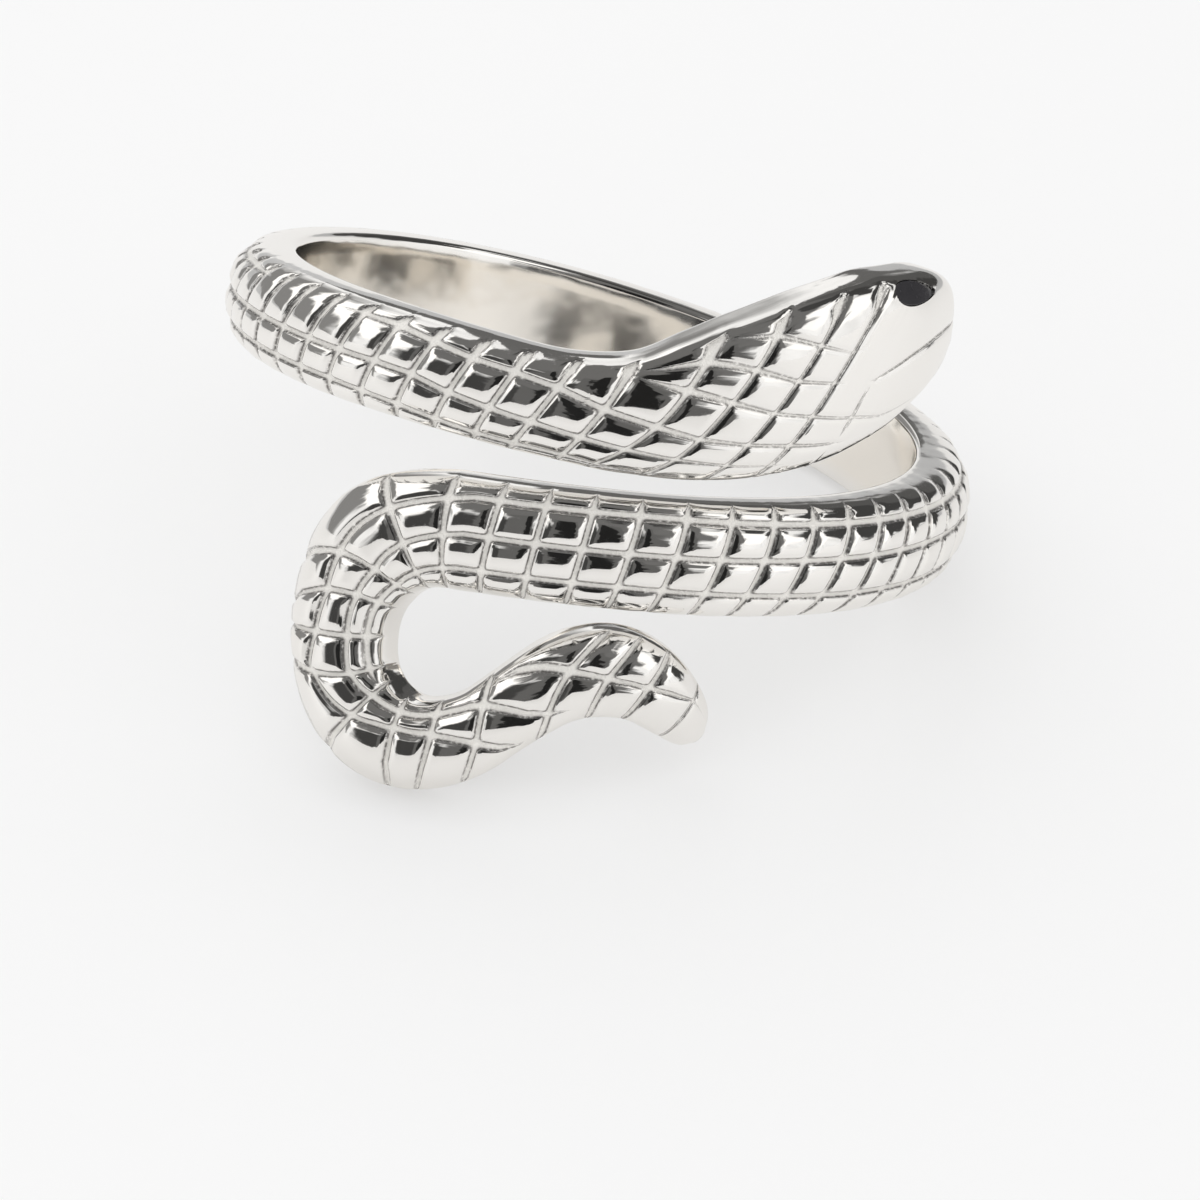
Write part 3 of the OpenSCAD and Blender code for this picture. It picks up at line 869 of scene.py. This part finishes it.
def mixed(tree, kind, factor, a, b):
    """A mix of two values or colours: a where the factor is 0 and b where it is 1."""
    node = add(tree, "ShaderNodeMix", data_type=kind)
    i, j, out = (2, 3, 0) if kind == "FLOAT" else (6, 7, 2)
    for k, value in ((0, factor), (i, a), (j, b)):
        give(tree, node.inputs[k], value)
    return node.outputs[out]


# %% A node group with named inputs
def mark_group():
    """Group of nodes: place in, scratch mask and cloud mask out."""
    tree = bpy.data.node_groups.new("wiping_marks", "ShaderNodeTree")
    tree.interface.new_socket("Place", in_out="INPUT", socket_type="NodeSocketVector")
    scale = tree.interface.new_socket("Scale", in_out="INPUT", socket_type="NodeSocketFloat")
    scale.default_value = 1000
    tree.interface.new_socket("Scratches", in_out="OUTPUT", socket_type="NodeSocketFloat")
    tree.interface.new_socket("Clouds", in_out="OUTPUT", socket_type="NodeSocketFloat")
    start, end = add(tree, "NodeGroupInput"), add(tree, "NodeGroupOutput")
    drawn = add(tree, "ShaderNodeMapping")
    drawn.inputs["Rotation"].default_value = (0.3, 0.7, 0.5)
    drawn.inputs["Scale"].default_value = (1, 1, 0.06)
    tree.links.new(start.outputs["Place"], drawn.inputs["Vector"])
    thin = noise(tree, drawn.outputs["Vector"], start.outputs["Scale"], 3)
    tree.links.new(ramp(tree, thin, 0.62, 0.74), end.inputs["Scratches"])
    broad = worked(tree, "MULTIPLY", start.outputs["Scale"], 0.12)
    tree.links.new(noise(tree, start.outputs["Place"], broad, 4), end.inputs["Clouds"])
    return tree


wiping_marks = mark_group()
print("group", wiping_marks.name, [s.name for s in wiping_marks.interface.items_tree])

# %% [markdown]
# ## Polished silver
# The pads are polished bright. The floors of the grooves keep the pale matt skin of the
# casting, and a fine broken dark line of painted shade lies at the foot of each flank, in
# the crease. The bore is only smoothed. So three masks from the mesh blend these finishes
# and the painted shade, and fine noise pits the floors.

# %% Silver
silver = bpy.data.materials.new("polished_silver")
silver.use_nodes = True
nt = silver.node_tree
shader = nt.nodes["Principled BSDF"]
place = add(nt, "ShaderNodeTexCoord").outputs["Object"]
floor_mask, foot_shade_mask, bore_mask = (
    add(nt, "ShaderNodeAttribute", attribute_name=name).outputs["Fac"] for name in layers
)
marks = add(nt, "ShaderNodeGroup", node_tree=wiping_marks)
nt.links.new(place, marks.inputs["Place"])
marks.inputs["Scale"].default_value = 5200
clouds, scratches = marks.outputs["Clouds"], marks.outputs["Scratches"]
# painted shade: a broken dark line at the foot of each flank, in the crease
painted_foot_shade = worked(nt, "MULTIPLY", foot_shade_mask, ramp(nt, noise(nt, place, 9000), 0.3, 0.5))
tone = mixed(nt, "RGBA", clouds, (0.93, 0.915, 0.89, 1), (0.96, 0.95, 0.935, 1))
tone = mixed(nt, "RGBA", floor_mask, tone, (0.95, 0.925, 0.88, 1))
# the painted shade's near-black colour
tone = mixed(nt, "RGBA", painted_foot_shade, tone, (0.1, 0.09, 0.085, 1))
tone = mixed(nt, "RGBA", bore_mask, tone, (0.96, 0.925, 0.87, 1))
nt.links.new(tone, shader.inputs["Base Color"])
shine = mixed(nt, "FLOAT", clouds, 0.035, 0.11)
shine = mixed(nt, "FLOAT", scratches, shine, 0.16)
shine = mixed(nt, "FLOAT", floor_mask, shine, 0.34)
shine = mixed(nt, "FLOAT", bore_mask, shine, 0.13)
nt.links.new(shine, shader.inputs["Roughness"])
nt.links.new(mixed(nt, "FLOAT", floor_mask, 1.0, 0.2), shader.inputs["Metallic"])
pits = worked(nt, "MULTIPLY", noise(nt, place, 14000), floor_mask)
skin = worked(nt, "MULTIPLY_ADD", noise(nt, place, 1100, 1), 0.25, pits)
bump = add(nt, "ShaderNodeBump")
bump.inputs["Distance"].default_value = 0.00006
bump.inputs["Strength"].default_value = 0.8
nt.links.new(skin, bump.inputs["Height"])
nt.links.new(bump.outputs["Normal"], shader.inputs["Normal"])
casting.data.materials.append(silver)
print("silver nodes", len(nt.nodes))

# %% [markdown]
# ## Black enamel
# Fired enamel is glass: very dark, glossy, with a faint cloud in it and fine wiping marks.

# %% Enamel
enamel = bpy.data.materials.new("black_enamel")
enamel.use_nodes = True
et = enamel.node_tree
glaze = et.nodes["Principled BSDF"]
glaze.inputs["Coat Weight"].default_value = 0.3
eye_marks = add(et, "ShaderNodeGroup", node_tree=wiping_marks)
eye_marks.inputs["Scale"].default_value = 9000
et.links.new(add(et, "ShaderNodeTexCoord").outputs["Object"], eye_marks.inputs["Place"])
et.links.new(
    mixed(et, "RGBA", eye_marks.outputs["Clouds"], (0.02, 0.019, 0.022, 1), (0.05, 0.048, 0.052, 1)),
    glaze.inputs["Base Color"],
)
et.links.new(mixed(et, "FLOAT", eye_marks.outputs["Scratches"], 0.22, 0.4), glaze.inputs["Roughness"])
enamel_bump = add(et, "ShaderNodeBump")
enamel_bump.inputs["Distance"].default_value = 0.00002
et.links.new(eye_marks.outputs["Clouds"], enamel_bump.inputs["Height"])
et.links.new(enamel_bump.outputs["Normal"], glaze.inputs["Normal"])
enamel_eye.data.materials.append(enamel)
print("enamel nodes", len(et.nodes))

# %% The pieces stand for the solids
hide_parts("snake_body")
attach(casting, "root")
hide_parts("eye")
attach(enamel_eye, "root")

# %% [markdown]
# ## Table
# A plain pale sheet carries the ring. It is large, so that it fills the picture to its edges.
# It glows a little by itself: painted light, which softens the ring's shadow on it. The
# ring's mirrors see that glow weaker near the ring, and far behind it they see it taken away,
# a painted reflection that gives the lower sides of the pads dark lines too.

# %% Floor
floor_size = 3.0
floor_mesh = bpy.data.meshes.new("table_top")
around = ((-1, -1), (1, -1), (1, 1), (-1, 1))
corners = [(x * floor_size, y * floor_size, 0) for x, y in around]
floor_mesh.from_pydata(corners, [], [(0, 1, 2, 3)])
table_top = bpy.data.objects.new("table_top", floor_mesh)
bpy.context.scene.collection.objects.link(table_top)
pale = bpy.data.materials.new("pale_sheet")
pale.use_nodes = True
pt = pale.node_tree
sheet = pt.nodes["Principled BSDF"]
on_sheet = add(pt, "ShaderNodeTexCoord").outputs["Object"]
grain = noise(pt, on_sheet, 900)
seen_tone = mixed(pt, "RGBA", grain, (0.548, 0.548, 0.548, 1), (0.552, 0.552, 0.552, 1))
pt.links.new(seen_tone, sheet.inputs["Base Color"])
sheet_parts = add(pt, "ShaderNodeSeparateXYZ")
pt.links.new(on_sheet, sheet_parts.inputs[0])
far_back = ramp(pt, sheet_parts.outputs["Y"], 0.062, 0.08, "SMOOTHSTEP")
# painted reflection: what mirrored rays see of the sheet, a weaker glow near the ring and a dark one far
# behind
painted_reflection_glow = mixed(pt, "RGBA", far_back, (0.32, 0.31, 0.295, 1), (-0.35, -0.35, -0.35, 1))
in_mirror = add(pt, "ShaderNodeLightPath").outputs["Is Glossy Ray"]
# painted light: all other rays see the sheet glow evenly, which softens the ring's shadow
painted_glow = mixed(pt, "RGBA", in_mirror, (0.375, 0.375, 0.375, 1), painted_reflection_glow)
pt.links.new(painted_glow, sheet.inputs["Emission Color"])
sheet.inputs["Emission Strength"].default_value = 1
sheet.inputs["Roughness"].default_value = 0.45
sheet.inputs["Specular IOR Level"].default_value = 0.25
floor_mesh.materials.append(pale)
print("floor", floor_size * 2, "m wide")

# %% [markdown]
# ## Camera
# The photo was taken with a long lens, from the front and a little above the ring's own
# level. Its place was worked out in the ring's own frame, and it takes the same turn as the
# ring does, so the picture keeps its angle to the ring.

# %% Camera at the photo's angle
view_up = math.radians(13.08)
view_roll = math.radians(-9.73)
view_far = 247.75
look_height = -2.321
picture_px = 1200
sensor_mm = 36
px_per_mm = 37.145
look_px = (603.49, 370.0)
back = Vector((0, -math.cos(view_up), math.sin(view_up)))
right = Vector((1, 0, 0))
up = back.cross(right)
eye_point_mm = Vector((0, 0, -look_height)) + back * view_far
right_rolled = right * math.cos(view_roll) - up * math.sin(view_roll)
up_rolled = up * math.cos(view_roll) + right * math.sin(view_roll)
lens = sensor_mm * px_per_mm * view_far / picture_px
px_angle = 1 / (px_per_mm * view_far)
down = math.atan((picture_px / 2 - look_px[1]) * px_angle)
aside = math.atan((look_px[0] - picture_px / 2) * px_angle)
turned = Matrix((right_rolled, up_rolled, back)).transposed()
turned = turned @ Matrix.Rotation(-down, 3, "X") @ Matrix.Rotation(aside, 3, "Y")
camera_data = bpy.data.cameras.new("camera")
camera_data.lens = lens
camera_data.sensor_width = sensor_mm
camera_data.clip_start, camera_data.clip_end = 0.01, 20
camera = bpy.data.objects.new("camera", camera_data)
bpy.context.scene.collection.objects.link(camera)
camera.rotation_mode = "QUATERNION"
camera.location = Vector(on_table(np.array(eye_point_mm)))
camera.rotation_quaternion = (rest_turn @ turned).to_quaternion()
bpy.context.scene.camera = camera
print("camera height above the table", round(camera.location.z * 1000), "mm, lens", round(lens))

# %% [markdown]
# ## Light tent
# Polished silver has no look of its own: it shows the room. Jewellery is photographed in a
# white tent, and the places that aren't white draw the dark lines in the metal: the slot that
# the lens looks through, the open top, and the unlit sides. The room is drawn here in the
# world's shader, by the direction that a mirrored ray goes. All other rays see plain white, so
# that the table stays pale.

# %% Direction of a ray, as degrees round and up
world = bpy.data.worlds.new("light_tent")
bpy.context.scene.world = world
world.use_nodes = True
wt = world.node_tree
wt.nodes.clear()
wander_deg = 22
direction = add(wt, "ShaderNodeTexCoord").outputs["Generated"]
ray = add(wt, "ShaderNodeSeparateXYZ")
wt.links.new(direction, ray.inputs[0])
to_front = worked(wt, "MULTIPLY", ray.outputs["Y"], -1)
round_rad = worked(wt, "ARCTAN2", ray.outputs["X"], to_front)
round_plain = worked(wt, "DEGREES", round_rad)
up_plain = worked(wt, "DEGREES", worked(wt, "ARCSINE", ray.outputs["Z"]))
wander = worked(wt, "MULTIPLY_ADD", noise(wt, direction, 5.5), wander_deg, -wander_deg / 2)
round_deg = worked(wt, "ADD", round_plain, wander)
up_deg = worked(wt, "ADD", up_plain, wander)
print("borders of the places wander by up to", wander_deg / 2, "degrees")

# %% Dark and bright places of the room
places = [
    # round from, to, up from, to, softness in degrees, brightness
    (-162, -95, -4, 24, 16, 0.24),
    (-150, -65, 30, 58, 8, 1.2),
    (-59, -21, -7, 43, 15, 0.05),
    (60, 96, 20, 55, 8, 1.15),
    (138, 174, -8, 66, 5, 0.09),
    (20, 62, 36, 70, 8, 0.16),
    (98, 152, 4, 32, 6, 0.05),
    (-180, 180, 60, 100, 9, 0.15),
    (112, 150, 48, 74, 6, 0.05),
    (-25, 34, -5, 66, 9, 0.12),
    (-7, 20, -1, 66, 3, 0.014),
]
# two places right behind, whose borders are straight
still_places = [
    (174.5, 180, -2, 58, 1.5, 0.13),
    (-180, -175, -2, 12.2, 1.2, 0.13),
]
warm = (1, 0.985, 0.96)


def between(value, low, high, soft):
    """1 between low and high, eased to 0 over the softness outside them."""
    above = ramp(wt, value, low - soft, low, "SMOOTHSTEP")
    below = ramp(wt, value, high + soft, high, "SMOOTHSTEP")
    return worked(wt, "MULTIPLY", above, below)


print("places", len(places) + len(still_places))

# %% The room that mirrored rays see
long_streaks = add(wt, "ShaderNodeMapping")
long_streaks.inputs["Scale"].default_value = (7, 7, 1.6)
wt.links.new(direction, long_streaks.inputs["Vector"])
streaks = noise(wt, long_streaks.outputs["Vector"], 1, 3)
room = mixed(wt, "RGBA", streaks, (0.7, 0.695, 0.685, 1), (1.14, 1.135, 1.125, 1))
for table, round_by, up_by in (
    (places, round_deg, up_deg),
    (still_places, round_plain, up_plain),
):
    for round_low, round_high, up_low, up_high, soft, bright in table:
        in_round = between(round_by, round_low, round_high, soft)
        in_up = between(up_by, up_low, up_high, soft)
        mask = worked(wt, "MULTIPLY", in_round, in_up)
        room = mixed(wt, "RGBA", mask, room, [bright * w for w in warm] + [1])
mirrored = add(wt, "ShaderNodeLightPath").outputs["Is Glossy Ray"]
seen = mixed(wt, "RGBA", mirrored, (1.04, 1.04, 1.04, 1), room)
background = add(wt, "ShaderNodeBackground")
wt.links.new(seen, background.inputs["Color"])
out = add(wt, "ShaderNodeOutputWorld")
wt.links.new(background.outputs["Background"], out.inputs["Surface"])
bpy.context.scene.view_settings.view_transform = "Standard"
print("world nodes", len(wt.nodes))
